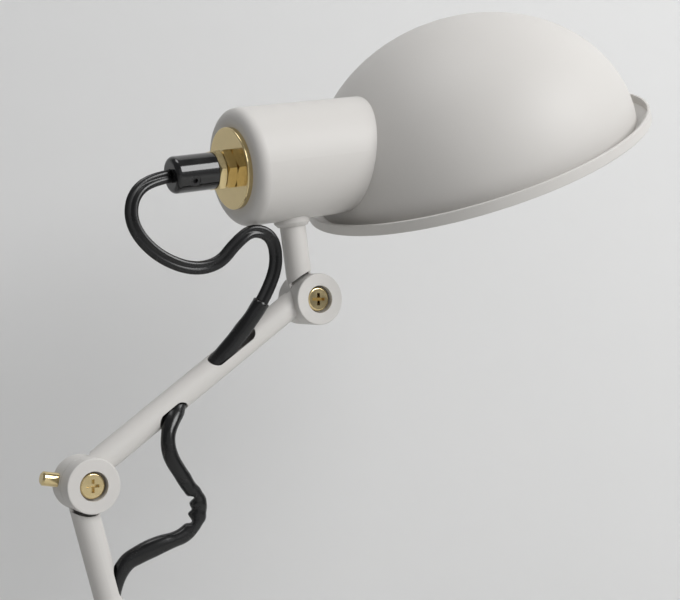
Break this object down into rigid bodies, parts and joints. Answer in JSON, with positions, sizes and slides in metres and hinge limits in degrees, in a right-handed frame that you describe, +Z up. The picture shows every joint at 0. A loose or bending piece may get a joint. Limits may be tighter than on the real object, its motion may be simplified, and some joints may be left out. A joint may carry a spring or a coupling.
{
  "type": "swing arm desk lamp",
  "caption": "Jointed desk lamp: a half-dome metal shade on a sideways lamp housing, carried by tubular arms with friction knuckles, external black flex and a round weighted base.",
  "frame": {"origin": "centre of the base's underside, where it rests on the table", "axes": "+Z up; +X the way the shade points; arms swing in the XZ plane; -Y is the side of the front knuckle discs"},
  "size_m": [0.4185, 0.291, 0.5075],
  "materials": {
    "grey_paint": "warm light grey, matt powder coat",
    "brass": "turned and lacquered",
    "steel": "zinc plated",
    "cast_weight": "as cast",
    "felt": "black felt",
    "fibre": "black fibre washer",
    "gloss_black": "polished black moulding",
    "black_plastic": "fine grained black moulding",
    "flex": "black twin flex",
    "sleeve": "black shrink sleeve",
    "holder": "dark moulded holder",
    "bulb_glass": "frosted glass",
    "bulb_cap": "bright threaded cap"
  },
  "bodies": {
    "base": {"base_cover": "grey_paint", "base_weight": "cast_weight", "weight_screws": "steel", "felt_pad": "felt", "swivel_bush": "brass", "bush_nut": "brass", "base_flex": "flex", "lead_to_switch": "flex", "lead_to_coil": "flex", "lead_to_plug": "flex", "cord_gland": "sleeve", "switch_body": "black_plastic", "lead_coil": "flex", "coil_tie": "sleeve", "plug_body": "black_plastic", "plug_pins": "steel"},
    "post": {"post": "grey_paint", "post_clip": "steel", "post_eye": "grey_paint", "post_sleeve": "sleeve"},
    "lower_arm": {"lower_arm_bottom_eye": "grey_paint", "lower_tube": "grey_paint", "lower_arm_top_eye": "grey_paint", "base_pivot_screw": "brass", "elbow_pivot_screw": "brass", "base_friction_washer": "fibre", "elbow_friction_washer": "fibre", "base_lock_nut": "steel", "elbow_lock_nut": "steel", "base_loop_flex": "flex", "lower_arm_flex": "flex", "lower_arm_sleeves": "sleeve"},
    "elbow_lock": {"elbow_lock_screw": "brass"},
    "upper_arm": {"upper_arm_elbow_eye": "grey_paint", "upper_tube": "grey_paint", "upper_arm_head_eye": "grey_paint", "head_loop_flex": "flex", "elbow_loop_flex": "flex", "upper_arm_sleeves": "sleeve"},
    "head": {"stem_eye": "grey_paint", "stem": "grey_paint", "stem_collar": "grey_paint", "shade_dome": "grey_paint", "shade_rim": "grey_paint", "socket_housing": "grey_paint", "back_washer": "brass", "inner_hex_nut": "brass", "outer_hex_nut": "brass", "threaded_nipple": "steel", "cord_grip": "gloss_black", "grip_screw": "black_plastic", "lamp_holder": "holder", "screw_shell": "brass", "centre_contact": "brass", "bulb_cap": "bulb_cap", "bulb_glass": "bulb_glass", "head_pivot_screw": "brass", "head_friction_washer": "fibre", "head_lock_nut": "steel"},
    "rocker": {"switch_rocker": "black_plastic"}
  },
  "joints": [
    {"name": "base_swivel", "type": "hinge", "parent": "base", "child": "post", "pos_m": [0, 0, 0], "axis": [0, 0, 1], "range_deg": [-150, 150]},
    {"name": "base_pivot", "type": "hinge", "parent": "post", "child": "lower_arm", "pos_m": [0, 0, 0.082], "axis": [0, 1, 0], "range_deg": [-15, 20], "deforming": ["base_loop_flex"]},
    {"name": "elbow_lock_turn", "type": "hinge", "parent": "lower_arm", "child": "elbow_lock", "pos_m": [-0.05345, 0.0042, 0.27473], "axis": [-0.9848, 0, 0.1736], "range_deg": [-180, 180]},
    {"name": "elbow_pivot", "type": "hinge", "parent": "lower_arm", "child": "upper_arm", "pos_m": [-0.05345, 0, 0.27473], "axis": [0, 1, 0], "range_deg": [-40, 30], "deforming": ["elbow_loop_flex"]},
    {"name": "head_pivot", "type": "hinge", "parent": "upper_arm", "child": "head", "pos_m": [0.06216, 0, 0.35719], "axis": [0, 1, 0], "range_deg": [-20, 30], "deforming": ["head_loop_flex"]},
    {"name": "switch_rocker", "type": "hinge", "parent": "base", "child": "rocker", "pos_m": [-0.1585, 0.082, 0.0117], "axis": [1, 0, 0], "range_deg": [-16, 0]}
  ]
}
